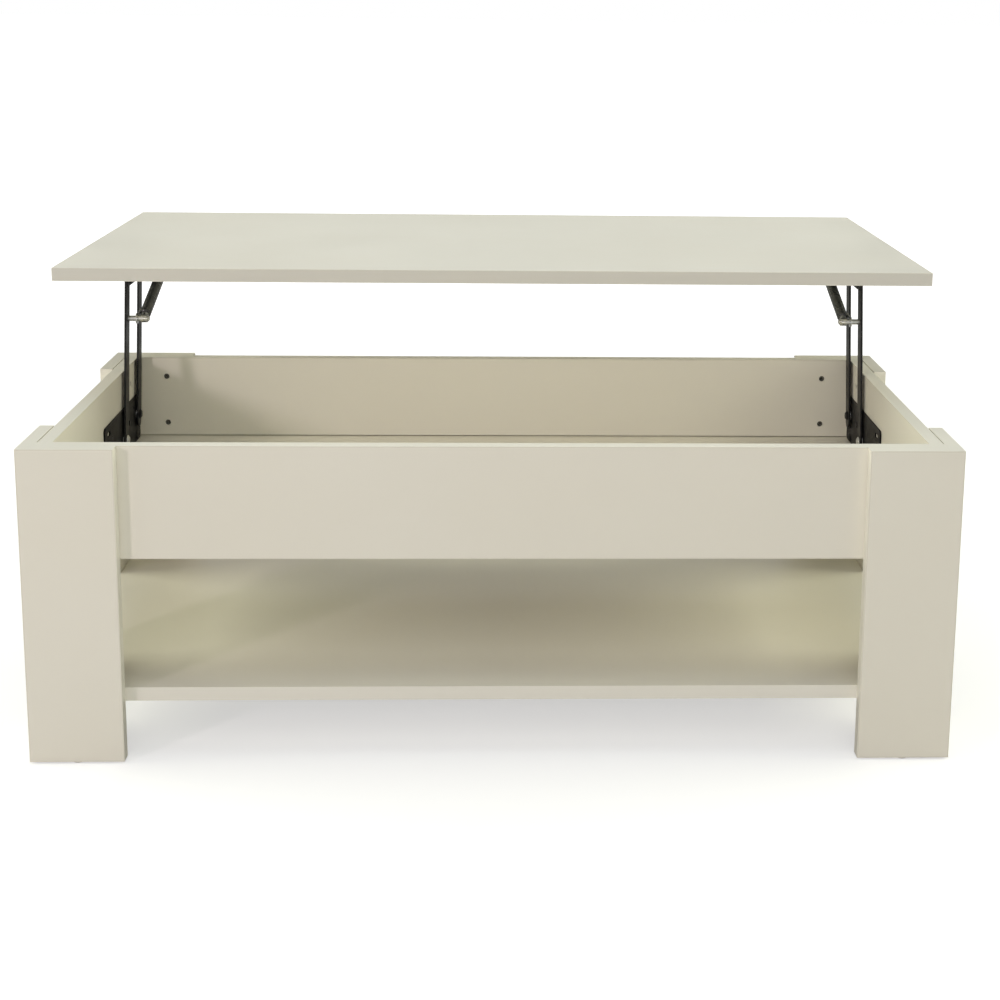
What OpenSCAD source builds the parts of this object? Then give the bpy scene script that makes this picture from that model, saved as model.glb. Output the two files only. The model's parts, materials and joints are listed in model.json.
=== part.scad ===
// Lift top coffee table: two-board corner legs, an open storage box, a lower shelf and
// a lid that swings up and back on two pairs of parallel arms, with a gas strut each side.
// Millimetres, +Z up. The floor is Z = 0. The origin lies under the middle of the whole
// table with its lid raised. In the modules, Y is counted from the front faces of the legs,
// and placed() moves it to the part's own frame.

/* [Lid] */
// Width of the lid
lid_w = 1200; // [1160:1:1300]
// Depth of the lid
lid_d = 600; // [590:1:660]
// How far the closed lid stands out past the legs, all round
lid_overhang = 13; // [4:1:20]
// How far the arms are turned down: 0 is raised, 83.9 is closed
lowered = 0; // [0:0.1:83.9]

/* [Boards] */
// Thickness of the lid, legs, aprons, panels and shelf
board_t = 18; // [16:1:19]
// Height of the rim of the box and of the leg tops
rim_z = 411; // [395:1:440]
// Width of each of a leg's two boards
leg_w = 119; // [100:1:130]
// Height of the aprons and side panels
apron_h = 146; // [140:1:160]
// Top of the lower shelf above the floor
shelf_top = 94.5; // [80:0.5:120]
// Thickness of the storage floor
floor_t = 15; // [12:1:18]
// Gap between a leg's side board and the side panel
leg_gap = 1.5; // [0.5:0.5:2]
// Gap between the lower shelf and the legs' side boards
shelf_gap = 0.7; // [0:0.1:1]
// Thickness of the glides under the legs
glide_t = 2; // [2:0.5:5]

/* [Lift arms] */
// Distance between the pivots of an arm
arm_l = 237; // [234:1:240]
// Width of an arm
arm_w = 22; // [18:1:24]
// Thickness of an arm
arm_t = 3; // [2.5:0.5:3.5]
// Angle of the raised arms, counted from the front up and over
raised_angle = 101; // [99:1:103]
// Angle of the closed arms
closed_angle = 17.1; // [16.5:0.1:18]
// Front arm's lower pivot, behind the front faces of the legs
pivot_y = 419; // [414:0.5:422]
// Front arm's lower pivot above the floor
pivot_z = 312.5; // [311:0.5:314]
// Rear arm's lower pivot, behind the front one
pivot_dy = 91; // [88:0.5:94]
// Rear arm's lower pivot, above the front one
pivot_dz = 17; // [15:0.5:19]

/* [Gas struts] */
// Diameter of a strut's tube
strut_d = 16; // [15:1:18]
// Strut pin below the front arm's upper pivot, along the arm
strut_pin_drop = 58; // [56:1:60]
// Upper end of the strut behind the front arm's upper pivot
anchor_dy = 207; // [204:1:210]
// Upper end of the strut above the front arm's upper pivot
anchor_dz = 13; // [11:1:14]

/* [Hidden] */
$fn = 64;

// Colours
ivory = [0.90, 0.88, 0.81];
black_steel = [0.10, 0.10, 0.11];
zinc = [0.78, 0.79, 0.80];
strut_grey = [0.33, 0.34, 0.33];
chrome = [0.86, 0.87, 0.88];
beech = [0.80, 0.64, 0.42];
nylon = [0.85, 0.84, 0.80];
rubber = [0.12, 0.12, 0.12];

// Frame
frame_w = lid_w - 2 * lid_overhang;
frame_d = lid_d - 2 * lid_overhang;
half_w = frame_w / 2;
side_in = half_w - board_t;                 // inner face of a leg's side board
panel_out = side_in - leg_gap;              // outer face of a side panel
panel_in = panel_out - board_t;             // inner face of a side panel
apron_bottom = rim_z - apron_h;
apron_in = 2 * board_t;                     // inner face of the front apron
rear_in = frame_d - apron_in;               // inner face of the rear apron
floor_top = apron_bottom + 23;
floor_bottom = floor_top - floor_t;
groove_d = 6;                               // grooves in the box that hold the storage floor
groove_slit = 1.5;                          // their opening over the floor
floor_in = groove_d - 0.5;
shelf_bottom = shelf_top - board_t;

// Lift
arm_angle = raised_angle - lowered;
bumper_t = 2;
closed_lid_z = rim_z + bumper_t;
raised_front = -lid_overhang + arm_l * (cos(closed_angle) - cos(raised_angle));
raised_lid_z = closed_lid_z + arm_l * (sin(raised_angle) - sin(closed_angle));
overall_d = raised_front + lid_d;
front_y = -overall_d / 2;                   // front faces of the legs in the part's frame
// how far the lid has moved from its raised place, [Y, Z]
lid_move = arm_l * [cos(raised_angle) - cos(arm_angle), sin(arm_angle) - sin(raised_angle)];
front_pivot = [pivot_y, pivot_z];
rear_pivot = front_pivot + [pivot_dy, pivot_dz];
arm_reach = arm_l * [-cos(raised_angle), sin(raised_angle)];
front_top = front_pivot + arm_reach;        // upper pivots with the lid raised
rear_top = rear_pivot + arm_reach;
front_tail = 0;                             // how far each arm runs on below its lower pivot
rear_tail = 8;

// Layers of the lift, from the side panel inwards
base_t = 2.5;
washer_t = 1.3;
rail_gap = 0.5;
rail_t = 2.5;
base_in = panel_in - base_t;
arm_out = base_in - washer_t;
arm_in = arm_out - arm_t;
rail_out = arm_in - rail_gap;
rail_in = rail_out - rail_t;
head_t = 3;
pin_r = 4;
pin_head_r = 7;
run = 0.08;                                 // running clearance round a pivot pin
open_run = 0.3;                             // clearance round the rear arms' upper pins

// Base plates
base_front = 301;
base_back = 530;
base_low = floor_top + 1.2;
base_high = rim_z - 53;
base_corner = 7;
slot_at = [324.5, 345.5];
slot_l = 18;
slot_w = 7;
pan_screws = [[318, 303], [452, 299], [504, 296.5]];
flush_screws = [[345, 336], [490, 343]];
screw_r = 2.1;
flush_r = 4;
pan_r = 6.6;
pan_t = 2.6;

// Raised stop: a pin behind each front arm
stop_r = 4;
stop_up = 28;
stop_angle = raised_angle + asin((arm_w / 2 + stop_r + 0.1) / stop_up);
stop_at = front_pivot + stop_up * [-cos(stop_angle), sin(stop_angle)];

// Rails under the lid
rail_depth = 40;
rail_depth_back = 24;
rail_front = front_top[0] - 14;
rail_step = rear_top[0] + 20;
rail_back = front_top[0] + anchor_dy + 25;
rail_flange = 36;
rail_screw_y = [rail_front + 40, rail_front + 120, rail_back - 55];
rail_screw_x = rail_in - 12;
lid_screw_l = 14;

// Gas struts
strut_x = 520;
eye_r = 8;
eye_w = 10;
stud_r = 3;
pin_drop = strut_pin_drop * [-cos(raised_angle), sin(raised_angle)];
strut_pin = front_top - pin_drop;           // raised place of the strut pin
anchor = front_top + [anchor_dy, anchor_dz];
pin_now = front_pivot + (arm_l - strut_pin_drop) * [-cos(arm_angle), sin(arm_angle)];
anchor_now = anchor + lid_move;
strut_len = norm(anchor_now - pin_now);
strut_angle = atan2(anchor_now[1] - pin_now[1], anchor_now[0] - pin_now[0]);
tube_from = 13;
tube_to = 128;
tube_wall = 1.2;
tube_bore = strut_d / 2 - tube_wall;
tube_end_t = 6;
tube_roll = 2.5;                            // rounding of the tube's closed end
drum_r = 6;                                 // lower fitting of a strut: the drum on its pin,
drum_at = [-6.5, 3];                        // the disc beside the arm and the strap
disc_r = 7.8;
disc_at = [8.2, 10.2];
fit_neck_r = 4.6;
stem_r = 5;
strap_l = 26;
strap_half = [4, 2];
rivet_r = 4.2;
gland_l = 10;
rod_r = 3;
rod_l = 112;
piston_l = 8;
rod_end_l = 14;
tab_t = 2.5;
tab_gap = 0.5;
tab_in = strut_x + eye_w / 2 + tab_gap;
tab_out = tab_in + tab_t;
tab_half = 10;
bracket_foot = rail_in - tab_out - 2;

// Fasteners of the boards
bolt_z = [rim_z - 29.5, rim_z - 102];
bolt_in_x = 81;                             // bolts of the aprons, from the leg's outer face
bolt_in_y = 89;                             // bolts of the side panels, from the leg's outer face
bolt_r = 3;
bolt_head_r = 4.1;
bolt_head_t = 6;
bolt_sunk = 1.2;
bolt_reach = 11;
socket_af = 5;
socket_t = 3.5;
insert_r = 5;
insert_l = 13;
dowel_r = 4;
dowel_l = 30;
dowel_in = 10;
dowel_z = [45, 190, 345];
dowel_x = half_w - board_t / 2;
box_screw_r = 2.5;
box_screw_l = 50;
box_head_r = 5;
box_head_t = 4;
box_screw_z = [apron_bottom + 42, rim_z - 48];
box_screw_x = panel_in + board_t / 2;
cam_r = 7.5;
cam_cover = 3.4;                            // wood left over a cam
cam_in = 30;                                // cam's centre from the edge of its board
cam_bolt_r = 3;
cam_bolt_in = 11;
cam_head_r = 3.5;
cam_recess = 0.3;
shelf_cam_x = half_w - leg_w + 30;
shelf_cam_y = leg_w - 30;
glide_r = 8;
nail_r = 1.2;
nail_l = 14;
play = 0.05;                                // clearance round a fastener in its hole

// ---------- helpers ----------

module placed() translate([0, front_y, 0]) children();

// Right-hand piece as drawn, or its mirror image on the left
module sided(side) {
    if (side < 0) mirror([1, 0, 0]) children();
    else children();
}

module both_sides() {
    children();
    mirror([1, 0, 0]) children();
}

// The same piece at the front and, mirrored, at the back of the frame
module both_ends() {
    children();
    translate([0, frame_d, 0]) mirror([0, 1, 0]) children();
}

module block(low, high) translate(low) cube(high - low);

// A flat (Y, Z) outline made into a plate across X
module across(x_low, x_high)
    translate([x_low, 0, 0]) rotate([90, 0, 90]) linear_extrude(x_high - x_low) children();

module rod_x(x_low, x_high, r, at = [0, 0])
    translate([x_low, at[0], at[1]]) rotate([0, 90, 0]) cylinder(h = x_high - x_low, r = r);

module cone_x(x_low, x_high, r_low, r_high, at = [0, 0])
    translate([x_low, at[0], at[1]]) rotate([0, 90, 0])
        cylinder(h = x_high - x_low, r1 = r_low, r2 = r_high);

module rod_y(y_low, y_high, r) translate([0, y_low, 0]) rotate([-90, 0, 0])
    cylinder(h = y_high - y_low, r = r);

// A low domed head on a pin across X: its flat side at x_flat, its crown at x_flat + t
module domed_head(x_flat, t, r, at) {
    step = t / 3;
    rod_x(min(x_flat, x_flat + step), max(x_flat, x_flat + step), r, at);
    translate([x_flat + step, at[0], at[1]]) rotate([0, t > 0 ? 90 : -90, 0])
        cylinder(h = abs(t - step), r1 = r, r2 = r * 0.62);
}

module rounded_rect(y_low, y_high, z_low, z_high, r) {
    translate([y_low + r, z_low]) square([y_high - y_low - 2 * r, z_high - z_low]);
    translate([y_low, z_low + r]) square([y_high - y_low, z_high - z_low - 2 * r]);
    for (y = [y_low + r, y_high - r], z = [z_low + r, z_high - r]) translate([y, z]) circle(r);
}

module slot_shape(at, length, width) {
    reach = (length - width) / 2;
    translate(at - [reach, width / 2]) square([2 * reach, width]);
    for (side = [-reach, reach]) translate(at + [side, 0]) circle(width / 2);
}

module hex_x(x_low, x_high, af, at)
    translate([x_low, at[0], at[1]]) rotate([0, 90, 0])
        cylinder(h = x_high - x_low, r = af / sqrt(3), $fn = 6);

// ---------- fasteners of the boards ----------

// Runs its child at each bolt of the right front leg: the child's bolt points along -Y from
// the origin, with its head at the box's inner face
module at_apron_bolts() for (z = bolt_z)
    translate([half_w - bolt_in_x, apron_in, z]) children();

module at_panel_bolts() for (z = bolt_z)
    translate([panel_in, bolt_in_y, z]) rotate([0, 0, -90]) mirror([0, 1, 0]) children();

module at_leg_bolts() both_ends() both_sides() {
    at_apron_bolts() children();
    at_panel_bolts() children();
}

module bolt() {
    difference() {
        rod_y(-bolt_head_t - bolt_sunk, -bolt_sunk, bolt_head_r);
        translate([0, -bolt_sunk, 0]) rotate([90, 0, 0])
            cylinder(h = 2 * socket_t, r = socket_af / sqrt(3), center = true, $fn = 6);
    }
    rod_y(-board_t - leg_gap - bolt_reach, -bolt_head_t - bolt_sunk, bolt_r);
}

module bolt_hole() {
    rod_y(-bolt_head_t - bolt_sunk, 1, bolt_head_r + 4 * play);
    rod_y(-board_t - 1, 0, bolt_r + 0.3);
}

// Blind hole in the leg's board: from the box's outer face
module insert_hole(gap) rod_y(-board_t - gap - insert_l, -board_t - gap + 1, insert_r + play);

module insert(gap) translate([0, -board_t - gap, 0]) difference() {
    rod_y(-insert_l, 0, insert_r);
    rod_y(-insert_l - 1, 1, bolt_r + play);
}

// Cam lock in the underside of a board, its bolt pointing along -Y out of the board's edge
module cam(board) difference() {
    translate([0, cam_in, -board / 2]) translate([0, 0, cam_recess])
        cylinder(h = board - cam_cover - 2 * cam_recess, r = cam_r - play);
    rod_y(0, cam_in + 4, cam_head_r + 0.2);
    translate([0, cam_in, -board / 2]) cube([1.2, 8, 4], center = true);
    translate([0, cam_in, -board / 2]) cube([8, 1.2, 4], center = true);
}

module cam_hole(board) {
    translate([0, cam_in, -board / 2 - 1]) cylinder(h = board - cam_cover + 1, r = cam_r);
    rod_y(-1, cam_in, cam_bolt_r + play);
}

module cam_bolt() {
    rod_y(-cam_bolt_in, cam_in - 5, cam_bolt_r);
    rod_y(cam_in - 5, cam_in + 3, cam_head_r);
}

module cam_bolt_hole() rod_y(-cam_bolt_in - 1, 1, cam_bolt_r + play);

// Grooves round the inside of the box, a little taller than the floor that sits in them
module floor_groove() block([-panel_in - groove_d, apron_in - groove_d, floor_bottom],
                            [panel_in + groove_d, rear_in + groove_d, floor_top + groove_slit]);

// Places of the lower shelf's cams: two in each corner
module at_shelf_cams() both_ends() both_sides() {
    z = shelf_bottom + board_t / 2;
    translate([shelf_cam_x, board_t, z]) children();
    translate([side_in, shelf_cam_y, z]) rotate([0, 0, 90]) children();
}

// Screws that close the corners of the box, under the legs' face boards
module at_box_screws() both_ends() both_sides() for (z = box_screw_z)
    translate([box_screw_x, board_t, z]) children();

module box_screw(spare) {
    rod_y(0, box_screw_l, box_screw_r + spare);
    translate([0, -spare, 0]) rod_y(0, box_head_t + spare, box_head_r + spare);
}

module at_dowels() both_ends() both_sides() for (z = dowel_z)
    translate([dowel_x, board_t, z]) children();

module dowel(spare) rod_y(-dowel_in - spare, dowel_l - dowel_in + spare, dowel_r + spare);

module at_glides() both_ends() both_sides() {
    translate([half_w - leg_w / 2, board_t / 2, 0]) children();
    translate([dowel_x, (leg_w + board_t) / 2, 0]) children();
}

module glide() {
    cylinder(h = glide_t, r1 = glide_r - 0.6, r2 = glide_r);
    cylinder(h = glide_t + nail_l, r = nail_r);
}

module glide_hole() translate([0, 0, glide_t]) cylinder(h = nail_l + 1, r = nail_r + play);

// ---------- boards ----------

// A leg's board on the front or back face: side is +1 right, end is +1 back
module leg_face(side, end) color(ivory) placed() difference() {
    end_at(end) sided(side)
        block([half_w - leg_w, 0, glide_t], [half_w, board_t, rim_z]);
    at_leg_bolts() insert_hole(0);
    at_dowels() dowel(play);
    at_shelf_cams() cam_bolt_hole();
    at_glides() glide_hole();
}

// A leg's board on the side
module leg_side(side, end) color(ivory) placed() difference() {
    end_at(end) sided(side)
        block([side_in, board_t, glide_t], [half_w, leg_w, rim_z]);
    at_leg_bolts() insert_hole(leg_gap);
    at_dowels() dowel(play);
    at_shelf_cams() cam_bolt_hole();
    at_glides() glide_hole();
}

module end_at(end) {
    if (end > 0) translate([0, frame_d, 0]) mirror([0, 1, 0]) children();
    else children();
}

module leg_front_left_face() leg_face(-1, -1);
module leg_front_right_face() leg_face(1, -1);
module leg_rear_left_face() leg_face(-1, 1);
module leg_rear_right_face() leg_face(1, 1);
module leg_front_left_side() leg_side(-1, -1);
module leg_front_right_side() leg_side(1, -1);
module leg_rear_left_side() leg_side(-1, 1);
module leg_rear_right_side() leg_side(1, 1);

module apron(end) color(ivory) placed() difference() {
    end_at(end) block([-side_in, board_t, apron_bottom], [side_in, apron_in, rim_z]);
    at_leg_bolts() bolt_hole();
    at_box_screws() box_screw(play);
    floor_groove();
}

module front_apron() apron(-1);
module rear_apron() apron(1);

module side_panel(side) color(ivory) placed() difference() {
    sided(side) block([panel_in, apron_in, apron_bottom], [panel_out, rear_in, rim_z]);
    at_leg_bolts() bolt_hole();
    at_box_screws() box_screw(play);
    floor_groove();
    sided(side) base_screw_holes(12);
}

module left_panel() side_panel(-1);
module right_panel() side_panel(1);

module storage_floor() color(ivory) placed()
    block([-panel_in - floor_in, apron_in - floor_in, floor_bottom],
          [panel_in + floor_in, rear_in + floor_in, floor_top]);

module lower_shelf() color(ivory) placed() difference() {
    block([shelf_gap - side_in, board_t, shelf_bottom],
          [side_in - shelf_gap, frame_d - board_t, shelf_top]);
    at_shelf_cams() cam_hole(board_t);
}

module foot_glides() color(nylon) placed() at_glides() glide();

module leg_bolts() color(black_steel) placed() at_leg_bolts() bolt();

module leg_inserts() color(zinc) placed() both_ends() both_sides() {
    at_apron_bolts() insert(0);
    at_panel_bolts() insert(leg_gap);
}

module leg_dowels() color(beech) placed() at_dowels() dowel(0);
module box_screws() color(zinc) placed() at_box_screws() box_screw(0);
module shelf_cams() color(zinc) placed() at_shelf_cams() cam(board_t);
module shelf_cam_bolts() color(zinc) placed() at_shelf_cams() cam_bolt();

// ---------- lift: what is fixed to the side panels ----------

module base_screw_holes(depth) for (at = concat(pan_screws, flush_screws))
    rod_x(panel_in - 1, panel_in + depth + 1, screw_r + play, at);

module lift_base(side) color(black_steel) placed() sided(side) difference() {
    across(base_in, panel_in) difference() {
        rounded_rect(base_front, base_back, base_low, base_high, base_corner);
        slot_shape(slot_at, slot_l, slot_w);
    }
    for (at = concat(pan_screws, flush_screws))
        rod_x(base_in - 1, panel_in + 1, screw_r + play, at);
    for (at = flush_screws)
        cone_x(base_in, panel_in, flush_r + play, screw_r + play, at);
    for (at = [front_pivot, rear_pivot, stop_at])
        rod_x(base_in - 1, panel_in + 1, pin_r + play, at);
}

module lift_base_left() lift_base(-1);
module lift_base_right() lift_base(1);

module base_screws() color(black_steel) placed() both_sides() {
    for (at = pan_screws) difference() {
        union() {
            rod_x(base_in, panel_in + 12, screw_r, at);
            domed_head(base_in, -pan_t, pan_r, at);
        }
        cross_recess(base_in - pan_t, at);
    }
    for (at = flush_screws) difference() {
        union() {
            rod_x(panel_in - 1, panel_in + 12, screw_r, at);
            cone_x(base_in + play, panel_in, flush_r, screw_r, at);
        }
        cross_recess(base_in, at);
    }
}

module cross_recess(x_face, at) {
    block([x_face - 1, at[0] - 2.2, at[1] - 0.5], [x_face + 1.4, at[0] + 2.2, at[1] + 0.5]);
    block([x_face - 1, at[0] - 0.5, at[1] - 2.2], [x_face + 1.4, at[0] + 0.5, at[1] + 2.2]);
}

module pivot_pin(at) {
    rod_x(arm_in - 0.3, panel_in, pin_r, at);
    domed_head(arm_in - 0.3, -head_t, pin_head_r, at);
}

module front_pivot_pins() color(zinc) placed() both_sides() pivot_pin(front_pivot);
module rear_pivot_pins() color(black_steel) placed() both_sides() pivot_pin(rear_pivot);

module arm_washers() color(zinc) placed() both_sides() for (at = [front_pivot, rear_pivot])
    difference() {
        rod_x(arm_out + 0.3, base_in, 9, at);
        rod_x(arm_out, base_in + 1, pin_r + play, at);
    }

module stop_pins() color(black_steel) placed() both_sides()
    rod_x(arm_in - 1, panel_in, stop_r, stop_at);

// ---------- lift: arms ----------

// Flat bar between two pivots, run on past the lower one by tail: drawn along +Y
module arm_bar(tail, lower_r, upper_r, extra_holes) across(arm_in, arm_out) difference() {
    union() {
        translate([-tail, -arm_w / 2]) square([arm_l + tail, arm_w]);
        translate([-tail, 0]) circle(arm_w / 2);
        translate([arm_l, 0]) circle(arm_w / 2);
    }
    circle(lower_r);
    translate([arm_l, 0]) circle(upper_r);
    for (y = extra_holes) translate([y, 0]) circle(pin_r + play);
}

module at_pivot(at) translate([0, at[0], at[1]]) rotate([180 - arm_angle, 0, 0]) children();

module front_arm(side) color(black_steel) placed() sided(side) at_pivot(front_pivot)
    arm_bar(front_tail, pin_r + run, pin_r + run, [arm_l - strut_pin_drop]);

module rear_arm(side) color(black_steel) placed() sided(side) at_pivot(rear_pivot)
    arm_bar(rear_tail, pin_r + run, pin_r + open_run, []);

module front_arm_left() front_arm(-1);
module front_arm_right() front_arm(1);
module rear_arm_left() rear_arm(-1);
module rear_arm_right() rear_arm(1);

// Shouldered pin in each front arm, riveted over at its inner end
module strut_pins() color(zinc) placed() both_sides() {
    rod_x(strut_x + disc_at[1] + 0.3, arm_out, pin_r, pin_now);
    rod_x(strut_x + drum_at[0] - 1, strut_x + disc_at[1] + 0.3, stud_r, pin_now);
    domed_head(strut_x + drum_at[0] - 0.3, -2.2, rivet_r, pin_now);
}

// ---------- lift: lid ----------

module with_lid() placed() translate([0, lid_move[0], lid_move[1]]) children();

module at_rail_screws() both_sides() for (y = rail_screw_y)
    translate([rail_screw_x, y, raised_lid_z - rail_t]) children();

module lid() color(ivory) with_lid() difference() {
    block([-lid_w / 2, raised_front, raised_lid_z],
          [lid_w / 2, raised_front + lid_d, raised_lid_z + board_t]);
    at_rail_screws() cylinder(h = lid_screw_l + rail_t, r = screw_r + play);
}

module lid_rail(side) color(black_steel) with_lid() sided(side) difference() {
    union() {
        across(rail_in, rail_out) difference() {
            polygon([
                [rail_front, raised_lid_z],
                [rail_front, raised_lid_z - rail_depth],
                [rail_step, raised_lid_z - rail_depth],
                [rail_step + 25, raised_lid_z - rail_depth_back],
                [rail_back, raised_lid_z - rail_depth_back],
                [rail_back, raised_lid_z]
            ]);
            translate(front_top) circle(pin_r + play);
            translate(rear_top) circle(pin_r + play);
        }
        block([rail_out - rail_flange, rail_front, raised_lid_z - rail_t],
              [rail_out, rail_back, raised_lid_z]);
    }
    translate([0, 0, raised_lid_z - rail_t]) for (y = rail_screw_y)
        translate([rail_screw_x, y, -1]) cylinder(h = rail_t + 2, r = screw_r + 0.2);
    translate([0, 0, raised_lid_z - rail_t]) for (y = [-6, 6])
        translate([tab_out + bracket_foot / 2, anchor[0] + y, -1])
            cylinder(h = rail_t + 2, r = 1.6 + play);
}

module lid_rail_left() lid_rail(-1);
module lid_rail_right() lid_rail(1);

module rail_screws() color(zinc) with_lid() at_rail_screws() difference() {
    union() {
        cylinder(h = lid_screw_l + rail_t - 1, r = screw_r);
        mirror([0, 0, 1]) cylinder(h = pan_t, r1 = 4.2, r2 = 2.8);
    }
    translate([0, 0, -pan_t]) cube([4.4, 1, 2.4], center = true);
    translate([0, 0, -pan_t]) cube([1, 4.4, 2.4], center = true);
}

module upper_pivot_pins() color(black_steel) with_lid() both_sides()
    for (at = [front_top, rear_top]) {
        rod_x(rail_in, arm_out + 0.3, pin_r, at);
        domed_head(arm_out + 0.3, 1.8, pin_head_r, at);
        domed_head(rail_in, -head_t, pin_head_r, at);
    }

module strut_bracket(side) color(black_steel) with_lid() sided(side) difference() {
    union() {
        across(tab_in, tab_out) {
            translate([anchor[0] - tab_half, anchor[1]])
                square([2 * tab_half, raised_lid_z - rail_t - anchor[1]]);
            translate(anchor) circle(tab_half);
        }
        block([tab_in, anchor[0] - tab_half, raised_lid_z - rail_t - tab_t],
              [tab_out + bracket_foot, anchor[0] + tab_half, raised_lid_z - rail_t]);
    }
    rod_x(tab_in - 1, tab_out + 1, stud_r + play, anchor);
    for (y = [-6, 6])
        translate([tab_out + bracket_foot / 2, anchor[0] + y, raised_lid_z - rail_t - tab_t - 1])
            cylinder(h = tab_t + 2, r = 1.6 + play);
}

module strut_bracket_left() strut_bracket(-1);
module strut_bracket_right() strut_bracket(1);

// Two small rivets hold each bracket, and a third closes the strut's eye bolt outside the tab
module bracket_rivets() color(zinc) with_lid() both_sides() {
    rod_x(tab_in, tab_out, stud_r, anchor);
    domed_head(tab_out, 2, 5, anchor);
    for (y = [-6, 6])
        translate([tab_out + bracket_foot / 2, anchor[0] + y, raised_lid_z - rail_t - tab_t]) {
            cylinder(h = tab_t + rail_t, r = 1.6);
            mirror([0, 0, 1]) cylinder(h = 1.2, r1 = 3, r2 = 2);
        }
}

// Thin discs under the lid that meet the tops of the legs
module lid_bumpers() color(rubber) with_lid() both_sides()
    for (y = [leg_w / 2, frame_d - leg_w / 2])
        translate([half_w - board_t / 2, raised_front + lid_overhang + y,
                   raised_lid_z - bumper_t + 0.3])
            cylinder(h = bumper_t - 0.3, r = 5);

// ---------- lift: gas struts ----------

// Drawn along +Y from the strut pin
module at_strut() translate([strut_x, pin_now[0], pin_now[1]]) rotate([strut_angle, 0, 0])
    children();

module cone_y(y_low, y_high, r_low, r_high) translate([0, y_low, 0]) rotate([-90, 0, 0])
    cylinder(h = y_high - y_low, r1 = r_low, r2 = r_high);

module strut_tube(side) color(strut_grey) placed() sided(side) at_strut() difference() {
    union() {
        cone_y(tube_from, tube_from + 0.8, strut_d / 2 - tube_roll, strut_d / 2 - 1);
        cone_y(tube_from + 0.8, tube_from + tube_roll, strut_d / 2 - 1, strut_d / 2);
        rod_y(tube_from + tube_roll, tube_to - 1, strut_d / 2);
        cone_y(tube_to - 1, tube_to, strut_d / 2, strut_d / 2 - 0.8);
    }
    rod_y(tube_from - 1, tube_from + tube_end_t, stud_r + play);
    rod_y(tube_from + tube_end_t, tube_to + 1, tube_bore);
}

// Lower fitting of each strut: its stem is fixed in the tube's closed end
module strut_sockets() color(zinc) placed() both_sides() at_strut() difference() {
    union() {
        cone_x(drum_at[0], drum_at[0] + 1, drum_r - 1, drum_r);
        rod_x(drum_at[0] + 1, drum_at[1], drum_r);
        rod_x(drum_at[1], disc_at[0], fit_neck_r);
        rod_x(disc_at[0], disc_at[1], disc_r);
        across(disc_at[0], disc_at[1]) polygon([
            [0, -strap_half[0]],
            [strap_l, -strap_half[1]],
            [strap_l, strap_half[1]],
            [0, strap_half[0]]
        ]);
        rod_y(drum_r / 2, tube_from, stem_r);
        rod_y(tube_from, tube_from + tube_end_t - 1, stud_r);
    }
    rod_x(drum_at[0] - 1, disc_at[1] + 1, stud_r + run);
}

module strut_tube_left() strut_tube(-1);
module strut_tube_right() strut_tube(1);

module strut_glands() color(rubber) placed() both_sides() at_strut() difference() {
    rod_y(tube_to - gland_l, tube_to, tube_bore - play);
    rod_y(tube_to - gland_l - 1, tube_to + 1, rod_r + run);
}

module strut_rod(side) color(chrome) placed() sided(side) at_strut() difference() {
    union() {
        rod_y(strut_len - rod_end_l - rod_l, strut_len - 5, rod_r);
        rod_y(strut_len - rod_end_l, strut_len - 6, 4.6);
        rod_x_at(strut_len, -eye_w / 2, eye_w / 2, eye_r);
    }
    rod_x_at(strut_len, -eye_w, eye_w, stud_r + play);
}

module rod_x_at(y, x_low, x_high, r) rod_x(x_low, x_high, r, [y, 0]);

module strut_rod_left() strut_rod(-1);
module strut_rod_right() strut_rod(1);

module strut_pistons() color(rubber) placed() both_sides() at_strut() difference() {
    translate([0, strut_len - rod_end_l - rod_l, 0]) rod_y(1, 1 + piston_l, tube_bore - 0.3);
    rod_y(strut_len - rod_end_l - rod_l, strut_len, rod_r + play);
}

// Eye bolt of each rod: its outer end stops just short of the bracket's tab
module strut_rod_studs() color(zinc) placed() both_sides() at_strut() {
    rod_x_at(strut_len, -eye_w / 2 - 2, eye_w / 2 + 0.2, stud_r);
    translate([0, strut_len, 0]) rotate([strut_angle, 0, 0])
        hex_x(-eye_w / 2 - 5.5, -eye_w / 2 - 0.3, 10, [0, 0]);
}

leg_front_left_face();
leg_front_left_side();
leg_front_right_face();
leg_front_right_side();
leg_rear_left_face();
leg_rear_left_side();
leg_rear_right_face();
leg_rear_right_side();
front_apron();
rear_apron();
left_panel();
right_panel();
storage_floor();
lower_shelf();
foot_glides();
leg_bolts();
leg_inserts();
leg_dowels();
box_screws();
shelf_cams();
shelf_cam_bolts();
lift_base_left();
lift_base_right();
base_screws();
front_pivot_pins();
rear_pivot_pins();
arm_washers();
stop_pins();
front_arm_left();
front_arm_right();
strut_pins();
rear_arm_left();
rear_arm_right();
lid();
lid_rail_left();
lid_rail_right();
rail_screws();
upper_pivot_pins();
strut_bracket_left();
strut_bracket_right();
bracket_rivets();
lid_bumpers();
strut_tube_left();
strut_tube_right();
strut_sockets();
strut_glands();
strut_rod_left();
strut_rod_right();
strut_pistons();
strut_rod_studs();
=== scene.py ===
import json
import math

import bpy
from mathutils import Matrix, Vector


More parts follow.
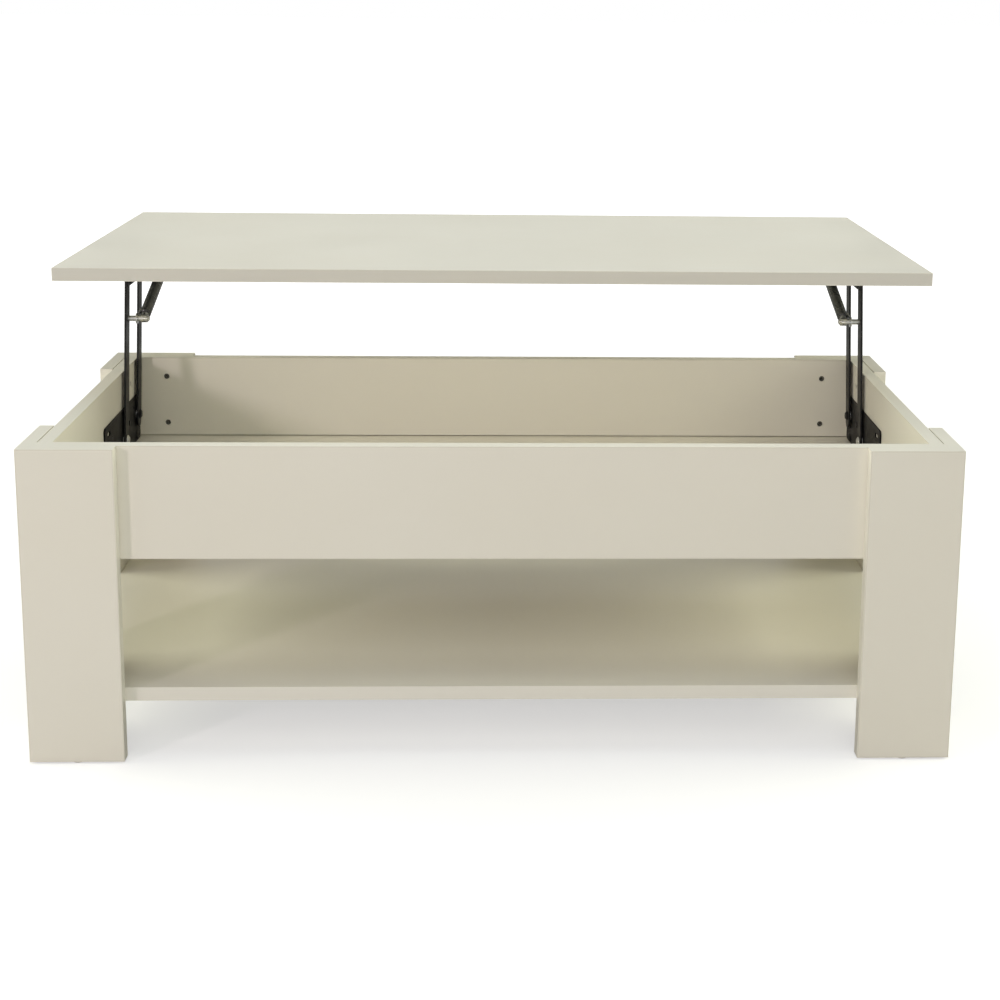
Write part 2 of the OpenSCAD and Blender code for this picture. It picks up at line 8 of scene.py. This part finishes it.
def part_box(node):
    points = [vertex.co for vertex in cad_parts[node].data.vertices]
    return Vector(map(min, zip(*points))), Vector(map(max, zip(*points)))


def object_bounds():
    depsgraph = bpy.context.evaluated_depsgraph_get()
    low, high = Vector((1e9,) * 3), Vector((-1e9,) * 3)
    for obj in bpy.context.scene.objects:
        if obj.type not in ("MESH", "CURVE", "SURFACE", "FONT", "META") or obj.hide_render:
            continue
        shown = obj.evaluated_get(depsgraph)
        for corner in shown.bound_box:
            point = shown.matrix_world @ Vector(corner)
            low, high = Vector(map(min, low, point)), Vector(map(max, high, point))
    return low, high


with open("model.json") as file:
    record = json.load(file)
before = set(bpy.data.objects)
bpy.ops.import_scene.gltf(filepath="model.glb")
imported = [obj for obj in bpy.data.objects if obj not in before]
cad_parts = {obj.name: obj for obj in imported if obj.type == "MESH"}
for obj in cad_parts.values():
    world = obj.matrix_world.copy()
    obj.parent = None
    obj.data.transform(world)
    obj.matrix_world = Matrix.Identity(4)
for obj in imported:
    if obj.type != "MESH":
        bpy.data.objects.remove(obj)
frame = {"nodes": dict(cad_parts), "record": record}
cad_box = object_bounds()
scene = bpy.context.scene


# ---------- material nodes ----------

WEAR_RADIUS = 0.0006
FLAT_LIKENESS, SHARP_LIKENESS = 0.999, 0.93  # of a rounded edge's normal to the face's own


def rgb(red, green, blue):
    return (red, green, blue, 1.0)


class Tree:
    """A material's node tree, with short calls for the nodes used here. Lengths are in metres."""

    def __init__(self, name):
        self.material = bpy.data.materials.new(name)
        self.material.use_nodes = True
        self.tree = self.material.node_tree
        self.tree.nodes.clear()
        self.shader = self.add("BsdfPrincipled")
        self.tree.links.new(self.shader.outputs[0], self.add("OutputMaterial").inputs[0])
        self.place = self.add("TexCoord").outputs["Object"]

    def add(self, kind):
        return self.tree.nodes.new("ShaderNode" + kind)

    def put(self, socket, value):
        """Links the socket to a node's output, or sets a constant on the socket itself."""
        if isinstance(value, bpy.types.NodeSocket):
            self.tree.links.new(value, socket)
        else:
            socket.default_value = value

    def calc(self, operation, a, b=0.0):
        node = self.add("Math")
        node.operation = operation
        self.put(node.inputs[0], a)
        self.put(node.inputs[1], b)
        return node.outputs[0]

    def noise(self, scale, detail, roughness, place=None):
        node = self.add("TexNoise")
        self.put(node.inputs["Vector"], place or self.place)
        node.inputs["Scale"].default_value = scale
        node.inputs["Detail"].default_value = detail
        node.inputs["Roughness"].default_value = roughness
        return node.outputs["Fac"]

    def cells(self, scale):
        node = self.add("TexVoronoi")
        self.put(node.inputs["Vector"], self.place)
        node.inputs["Scale"].default_value = scale
        return node.outputs["Distance"]

    def stretched(self, x, y, z):
        node = self.add("Mapping")
        self.put(node.inputs["Vector"], self.place)
        node.inputs["Scale"].default_value = (x, y, z)
        return node.outputs[0]

    def ramp(self, factor, low, high, out_low=0.0, out_high=1.0):
        """Goes smoothly from out_low, where the factor is low, to out_high, where it is high."""
        node = self.add("MapRange")
        node.interpolation_type = "SMOOTHSTEP"
        self.put(node.inputs["Value"], factor)
        node.inputs["From Min"].default_value = low
        node.inputs["From Max"].default_value = high
        node.inputs["To Min"].default_value = out_low
        node.inputs["To Max"].default_value = out_high
        return node.outputs[0]

    def patches(self, scale, detail, roughness, low, high, out_low=0.0, out_high=1.0):
        """Noise sharpened into soft-edged patches."""
        return self.ramp(self.noise(scale, detail, roughness), low, high, out_low, out_high)

    def mix(self, factor, a, b):
        node = self.add("Mix")
        node.data_type = "RGBA"
        self.put(node.inputs["Factor"], factor)
        self.put(node.inputs["A"], a)
        self.put(node.inputs["B"], b)
        return node.outputs["Result"]

    def tint(self, colour, mask, amount, other):
        """The colour, mixed with that amount of the other one where the mask is 1."""
        return self.mix(self.calc("MULTIPLY", mask, amount), colour, other)

    def bump(self, height, distance, strength, under=None):
        node = self.add("Bump")
        self.put(node.inputs["Height"], height)
        node.inputs["Distance"].default_value = distance
        node.inputs["Strength"].default_value = strength
        if under is not None:
            self.tree.links.new(under, node.inputs["Normal"])
        return node.outputs[0]

    def sharp_edges(self):
        """About 1 where an edge sticks out, 0 on a flat."""
        bevel = self.add("Bevel")
        bevel.samples = 4
        bevel.inputs["Radius"].default_value = WEAR_RADIUS
        likeness = self.add("VectorMath")
        likeness.operation = "DOT_PRODUCT"
        self.put(likeness.inputs[0], bevel.outputs[0])
        self.put(likeness.inputs[1], self.add("NewGeometry").outputs["Normal"])
        return self.ramp(likeness.outputs["Value"], FLAT_LIKENESS, SHARP_LIKENESS)

    def worn_edges(self, scale, low, high):
        """Stretches of edge that have lost their coating."""
        return self.calc("MULTIPLY", self.sharp_edges(), self.patches(scale, 4.0, 0.7, low, high))

    def finish(self, **values):
        """Puts each value in the shader's socket of that name, and gives the material."""
        for name, value in values.items():
            socket = name.replace("_", " ").title().replace("Ior", "IOR")
            self.put(self.shader.inputs[socket], value)
        return self.material


# ---------- the boards' facing ----------

IVORY = rgb(0.825, 0.797, 0.700)
IVORY_WARM = rgb(0.812, 0.776, 0.668)
IVORY_EDGE = (0.840, 0.815, 0.725)
IVORY_SPECK = rgb(0.55, 0.50, 0.40)
GLUE_LINE = rgb(0.46, 0.40, 0.29)
EDGE_TONE = {"lid": 0.80}       # the lid's edge band is given a darker colour than the others
EDGE_BAND = 0.0009              # thickness of the edge band: the glue line lies under it
GLUE_FADE = (0.00030, 0.00012)  # the glue line is gone, and full, this far from its middle
EDGE_FADE = (0.0003, 0.0005)    # the facing ends, and the edge is full, this deep in the board


def board_material(name):
    """Melamine facing with a fine pearl grain, and a thin edge band of nearly the same colour all round."""
    low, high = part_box(name)
    tree = Tree("ivory_board_" + name)
    position = tree.add("SeparateXYZ")
    tree.put(position.inputs[0], tree.place)

    def depth(axis):
        """Distance from the nearer of the board's two sides that lie across the axis."""
        middle = (low[axis] + high[axis]) / 2
        off_middle = tree.calc("ABSOLUTE", tree.calc("SUBTRACT", position.outputs[axis], middle))
        return tree.calc("SUBTRACT", (high[axis] - low[axis]) / 2, off_middle)

    thickness, *in_plane = sorted(range(3), key=lambda axis: high[axis] - low[axis])
    on_edge = tree.ramp(depth(thickness), *EDGE_FADE)
    from_edge = tree.calc("MINIMUM", depth(in_plane[0]), depth(in_plane[1]))
    off_glue = tree.calc("ABSOLUTE", tree.calc("SUBTRACT", from_edge, EDGE_BAND))
    on_face = tree.calc("SUBTRACT", 1.0, on_edge)
    glue = tree.calc("MULTIPLY", tree.ramp(off_glue, *GLUE_FADE), on_face)

    face = tree.tint(IVORY, tree.patches(2.3, 4.0, 0.6, 0.35, 0.68), 0.5, IVORY_WARM)
    face = tree.tint(face, tree.patches(900.0, 2.0, 0.7, 0.62, 0.80), 0.05, IVORY_SPECK)
    tone = EDGE_TONE.get(name, 1.0)
    colour = tree.mix(on_edge, face, rgb(*(tone * channel for channel in IVORY_EDGE)))
    colour = tree.tint(colour, glue, 0.45, GLUE_LINE)

    pearl = tree.bump(tree.noise(1500.0, 2.0, 0.5), 0.00004, 0.55)
    pearl = tree.bump(tree.cells(620.0), 0.00006, 0.35, pearl)
    wave = tree.bump(tree.noise(38.0, 2.0, 0.5), 0.0002, 0.12, pearl)
    smudge = tree.patches(7.0, 5.0, 0.62, 0.3, 0.75, 0.36, 0.47)
    rough = tree.calc("ADD", smudge, tree.calc("MULTIPLY", on_edge, -0.06))
    return tree.finish(base_color=colour, roughness=rough, normal=wave, specular_ior_level=0.42)


# ---------- the hardware's finishes ----------

def black_steel_material(name, gloss):
    """Powder coat: fine orange peel, light scuffs, and a little bare metal on the sharp edges."""
    tree = Tree(name)
    peel = tree.bump(tree.noise(1400.0, 2.0, 0.5), 0.00006, 0.6)
    peel = tree.bump(tree.noise(260.0, 3.0, 0.5), 0.0001, 0.25, peel)
    scuff = tree.patches(90.0, 6.0, 0.72, 0.52, 0.72)
    colour = tree.tint(rgb(0.006, 0.006, 0.007), scuff, 0.35, rgb(0.016, 0.016, 0.017))
    colour = tree.tint(colour, tree.worn_edges(240.0, 0.42, 0.62), 0.4, rgb(0.16, 0.16, 0.17))
    cloud = tree.patches(30.0, 4.0, 0.6, 0.3, 0.7, 0.36, 0.46)
    rough = tree.calc("ADD", cloud, tree.calc("MULTIPLY", scuff, 0.08))
    return tree.finish(base_color=colour, roughness=rough, normal=peel, metallic=0.0,
                       specular_ior_level=gloss)


def black_zinc_material():
    """Bolts plated black: a dark metal, worn brighter in spots, and given a brighter colour evenly along all
    its sharp edges.
    """
    tree = Tree("black_zinc_plate")
    wear = tree.patches(420.0, 4.0, 0.7, 0.45, 0.68)
    colour = tree.mix(wear, rgb(0.075, 0.075, 0.070), rgb(0.26, 0.25, 0.23))
    # every sharp edge is coloured brighter, evenly, not in worn stretches
    colour = tree.tint(colour, tree.sharp_edges(), 0.6, rgb(0.55, 0.54, 0.50))
    marks = tree.bump(tree.noise(1300.0, 2.0, 0.6), 0.00003, 0.5)
    rough = tree.ramp(wear, 0.0, 1.0, 0.42, 0.28)
    return tree.finish(base_color=colour, roughness=rough, normal=marks, metallic=1.0)


def zinc_material():
    """Bright zinc plate with a faint blue and yellow cast, dull spots and turning marks."""
    tree = Tree("bright_zinc")
    cast = tree.patches(120.0, 4.0, 0.65, 0.35, 0.70)
    colour = tree.mix(cast, rgb(0.66, 0.68, 0.71), rgb(0.74, 0.72, 0.66))
    colour = tree.tint(colour, tree.patches(700.0, 3.0, 0.7, 0.60, 0.78), 0.4, rgb(0.42, 0.42, 0.42))
    turned = tree.stretched(6.0, 1.0, 1.0)
    marks = tree.bump(tree.noise(900.0, 2.0, 0.6, turned), 0.00003, 0.5)
    rough = tree.patches(300.0, 4.0, 0.6, 0.3, 0.7, 0.24, 0.40)
    return tree.finish(base_color=colour, roughness=rough, normal=marks, metallic=1.0)


def strut_grey_material():
    """Dark grey enamel with a slight orange peel, worn on its sharp edges."""
    tree = Tree("strut_grey_enamel")
    peel = tree.bump(tree.noise(900.0, 2.0, 0.5), 0.00005, 0.4)
    cloud = tree.patches(60.0, 4.0, 0.6, 0.35, 0.70)
    colour = tree.mix(cloud, rgb(0.060, 0.062, 0.060), rgb(0.072, 0.074, 0.072))
    colour = tree.tint(colour, tree.worn_edges(260.0, 0.46, 0.66), 0.35, rgb(0.30, 0.30, 0.29))
    rough = tree.patches(40.0, 4.0, 0.6, 0.3, 0.7, 0.24, 0.30)
    return tree.finish(base_color=colour, roughness=rough, normal=peel, metallic=0.2,
                       specular_ior_level=0.5)


def chrome_material():
    """Polished chrome under an uneven film of oil."""
    tree = Tree("chromed_rod")
    film = tree.patches(80.0, 5.0, 0.7, 0.45, 0.75, 0.06, 0.16)
    polish = tree.bump(tree.noise(2500.0, 1.0, 0.5), 0.00001, 0.3)
    colour = tree.mix(tree.noise(150.0, 3.0, 0.55), rgb(0.78, 0.79, 0.80), rgb(0.84, 0.84, 0.83))
    return tree.finish(base_color=colour, roughness=film, normal=polish, metallic=1.0)


def beech_material():
    """Turned beech: pale, with short darker flecks along the grain."""
    tree = Tree("raw_beech")
    grain_along_y = tree.stretched(1.0, 0.08, 1.0)
    flecks = tree.ramp(tree.noise(700.0, 5.0, 0.7, grain_along_y), 0.35, 0.70)
    colour = tree.mix(flecks, rgb(0.60, 0.43, 0.26), rgb(0.46, 0.30, 0.16))
    return tree.finish(base_color=colour, roughness=0.72, normal=tree.bump(flecks, 0.00008, 0.6))


def nylon_material():
    """Off-white nylon, scuffed by the floor."""
    tree = Tree("white_nylon")
    scuff = tree.patches(350.0, 5.0, 0.7, 0.45, 0.70)
    colour = tree.tint(rgb(0.72, 0.70, 0.64), scuff, 0.5, rgb(0.50, 0.47, 0.41))
    rough = tree.ramp(scuff, 0.0, 1.0, 0.42, 0.62)
    return tree.finish(base_color=colour, roughness=rough, normal=tree.bump(scuff, 0.00005, 0.6))


def rubber_material():
    """Black rubber with a fine grain and some dust."""
    tree = Tree("black_rubber")
    grain = tree.bump(tree.noise(1100.0, 3.0, 0.6), 0.00006, 0.7)
    dust = tree.patches(220.0, 5.0, 0.7, 0.50, 0.75)
    colour = tree.tint(rgb(0.016, 0.016, 0.016), dust, 0.4, rgb(0.07, 0.068, 0.064))
    return tree.finish(base_color=colour, roughness=0.78, normal=grain)


FINISHES = {
    "black_steel": black_steel_material("black_powder_coat", 0.26),
    "zinc": zinc_material(),
    "strut_grey": strut_grey_material(),
    "chrome_rod": chrome_material(),
    "beech": beech_material(),
    "nylon": nylon_material(),
    "rubber": rubber_material(),
}
DULL_BLACK = black_steel_material("dull_black_powder_coat", 0.10)
SPECIAL_FINISHES = {
    "lift_base_left": DULL_BLACK,
    "lift_base_right": DULL_BLACK,
    "leg_bolts": black_zinc_material(),
}

# ---------- the CAD nodes: softened edges and their finishes ----------

BOARD_BEVEL = 0.0005
METAL_BEVEL = 0.0003
BEVEL_SEGMENTS = 2
WELD_GAP = 1e-6
FLAT_WITHIN = math.radians(1.5)  # faces that meet at less than this are joined
SHARP_FROM = math.radians(50)    # edges that turn by more than this are rounded
SLOT_OF = {entry["node"]: entry["material_slot"] for entry in frame["record"]["subparts"]}


def soften(piece, width):
    """Rounds the piece's sharp edges, as a sheared plate or a banded board has, without touching its mesh."""
    weld = piece.modifiers.new("weld", "WELD")
    weld.merge_threshold = WELD_GAP
    flat = piece.modifiers.new("flat_faces", "DECIMATE")
    flat.decimate_type = "DISSOLVE"
    flat.angle_limit = FLAT_WITHIN
    bevel = piece.modifiers.new("soft_edges", "BEVEL")
    bevel.width = width
    bevel.segments = BEVEL_SEGMENTS
    bevel.limit_method = "ANGLE"
    bevel.angle_limit = SHARP_FROM
    bevel.harden_normals = False
    normals = piece.modifiers.new("even_shading", "WEIGHTED_NORMAL")
    normals.keep_sharp = True


for name, piece in frame["nodes"].items():
    slot_name = SLOT_OF[name]
    piece.data.materials.clear()
    if slot_name == "ivory_board":
        piece.data.materials.append(board_material(name))
        soften(piece, BOARD_BEVEL)
    else:
        piece.data.materials.append(SPECIAL_FINISHES.get(name) or FINISHES[slot_name])
        soften(piece, METAL_BEVEL)

# ---------- floor and backdrop ----------

FLOOR_REACH = 60.0
FLOOR_LEVEL = -0.0005          # just under the glides
GLOW_FROM, GLOW_TO = 1.0, 5.0  # the floor's glow grows between these distances from the table's middle
GLOW_NEAR, GLOW_FAR = 0.52, 1.2
AMBIENT = 0.08


def floor_paper_material():
    """Pale paper. It glows for the camera alone, more so far away, to stay as pale as the backdrop."""
    tree = Tree("studio_floor_paper")
    distance = tree.add("VectorMath")
    distance.operation = "LENGTH"
    tree.put(distance.inputs[0], tree.place)
    glow = tree.ramp(distance.outputs["Value"], GLOW_FROM, GLOW_TO, GLOW_NEAR, GLOW_FAR)
    seen = tree.add("LightPath").outputs["Is Camera Ray"]
    return tree.finish(base_color=rgb(0.62, 0.62, 0.62), roughness=0.9, specular_ior_level=0.0,
                       emission_color=rgb(1.0, 1.0, 1.0),
                       emission_strength=tree.calc("MULTIPLY", glow, seen))


def make_floor():
    mesh = bpy.data.meshes.new("studio_floor")
    signs = [(-1, -1), (1, -1), (1, 1), (-1, 1)]
    corners = [(x * FLOOR_REACH, y * FLOOR_REACH, FLOOR_LEVEL) for x, y in signs]
    mesh.from_pydata(corners, [], [(0, 1, 2, 3)])
    mesh.materials.append(floor_paper_material())
    sheet = bpy.data.objects.new("studio_floor", mesh)
    scene.collection.objects.link(sheet)
    return sheet


def make_world():
    """A white backdrop for the camera, and a faint even light for everything else."""
    world = bpy.data.worlds.new("studio")
    world.use_nodes = True
    tree = world.node_tree
    ambient = tree.nodes["Background"]
    ambient.inputs["Color"].default_value = rgb(0.95, 0.98, 1.0)
    ambient.inputs["Strength"].default_value = AMBIENT
    backdrop = tree.nodes.new("ShaderNodeBackground")
    backdrop.inputs["Color"].default_value = rgb(1.0, 1.0, 1.0)
    seen = tree.nodes.new("ShaderNodeLightPath").outputs["Is Camera Ray"]
    choose = tree.nodes.new("ShaderNodeMixShader")
    tree.links.new(seen, choose.inputs[0])
    tree.links.new(ambient.outputs[0], choose.inputs[1])
    tree.links.new(backdrop.outputs[0], choose.inputs[2])
    tree.links.new(choose.outputs[0], tree.nodes["World Output"].inputs["Surface"])
    return world


floor = make_floor()
scene.world = make_world()

# ---------- lights ----------

AIM = Vector((0.0, 0.0, 0.25))


def soft_box(name, place, width, height, watts, colour):
    """A rectangular lamp that points at the middle of the table."""
    light = bpy.data.lights.new(name, "AREA")
    light.shape = "RECTANGLE"
    light.size = width
    light.size_y = height
    light.energy = watts
    light.color = colour
    lamp = bpy.data.objects.new(name, light)
    lamp.location = place
    lamp.rotation_euler = (AIM - Vector(place)).to_track_quat("-Z", "Y").to_euler()
    scene.collection.objects.link(lamp)


soft_box("overhead", (0.0, -0.3, 3.4), 3.6, 3.0, 28.0, (0.74, 0.83, 1.0))
soft_box("overhead_back", (0.0, 2.4, 3.0), 3.6, 2.0, 32.0, (0.88, 0.89, 1.0))
soft_box("front_high", (0.0, -3.6, 3.2), 3.0, 2.0, 35.0, (1.0, 0.98, 0.93))
soft_box("front_low", (0.0, -5.0, 0.9), 3.0, 1.2, 25.0, (1.0, 0.96, 0.88))
# the only small lamp: it casts the sharp shadow beside the left front leg
soft_box("front_left", (-3.4, -4.0, 1.8), 0.4, 0.7, 52.0, (1.0, 0.88, 0.92))
soft_box("front_right", (3.6, -3.8, 1.7), 2.4, 2.0, 6.0, (1.0, 0.90, 0.98))
soft_box("side_left", (-4.0, -1.9, 1.2), 1.8, 1.4, 15.0, (1.0, 1.0, 0.86))
soft_box("side_right", (4.0, -1.9, 1.2), 1.8, 1.4, 15.0, (1.0, 1.0, 0.86))
soft_box("low_back", (0.0, 4.6, 0.8), 3.0, 0.9, 9.0, (1.0, 0.96, 0.78))
soft_box("left", (-4.1, 0.2, 2.3), 2.4, 1.8, 98.0, (1.0, 1.0, 0.78))
soft_box("right", (4.1, 0.2, 2.3), 2.4, 1.8, 100.0, (1.0, 1.0, 0.76))

# ---------- camera ----------

LENS_MM = 61.4
SENSOR_MM = 36.0
SHIFT_X, SHIFT_Y = -0.0692, -0.1722
FAR_CLIP = 200.0
PITCH_DOWN = math.radians(11.062)
YAW_RIGHT = math.radians(2.329)
ROLL = math.radians(0.7275)
EYE_RIGHT = 0.0065   # of the table's middle
EYE_BEFORE = 2.0380  # the legs' front faces
EYE_HEIGHT = 0.9645


def make_camera():
    data = bpy.data.cameras.new("camera")
    data.lens = LENS_MM
    data.sensor_width = SENSOR_MM
    data.shift_x = SHIFT_X
    data.shift_y = SHIFT_Y
    data.clip_end = FAR_CLIP
    camera = bpy.data.objects.new("camera", data)
    scene.collection.objects.link(camera)
    forward = Vector((math.sin(YAW_RIGHT) * math.cos(PITCH_DOWN),
                      math.cos(YAW_RIGHT) * math.cos(PITCH_DOWN),
                      -math.sin(PITCH_DOWN)))
    level = forward.cross(Vector((0, 0, 1))).normalized()
    upward = level.cross(forward)
    right = math.cos(ROLL) * level + math.sin(ROLL) * upward
    top = -math.sin(ROLL) * level + math.cos(ROLL) * upward
    turn = Matrix((right, top, -forward)).transposed()
    front = cad_box[0][1]
    eye = Vector((EYE_RIGHT, front - EYE_BEFORE, EYE_HEIGHT))
    camera.matrix_world = Matrix.Translation(eye) @ turn.to_4x4()
    return camera


scene.camera = make_camera()
scene.view_settings.view_transform = "Standard"
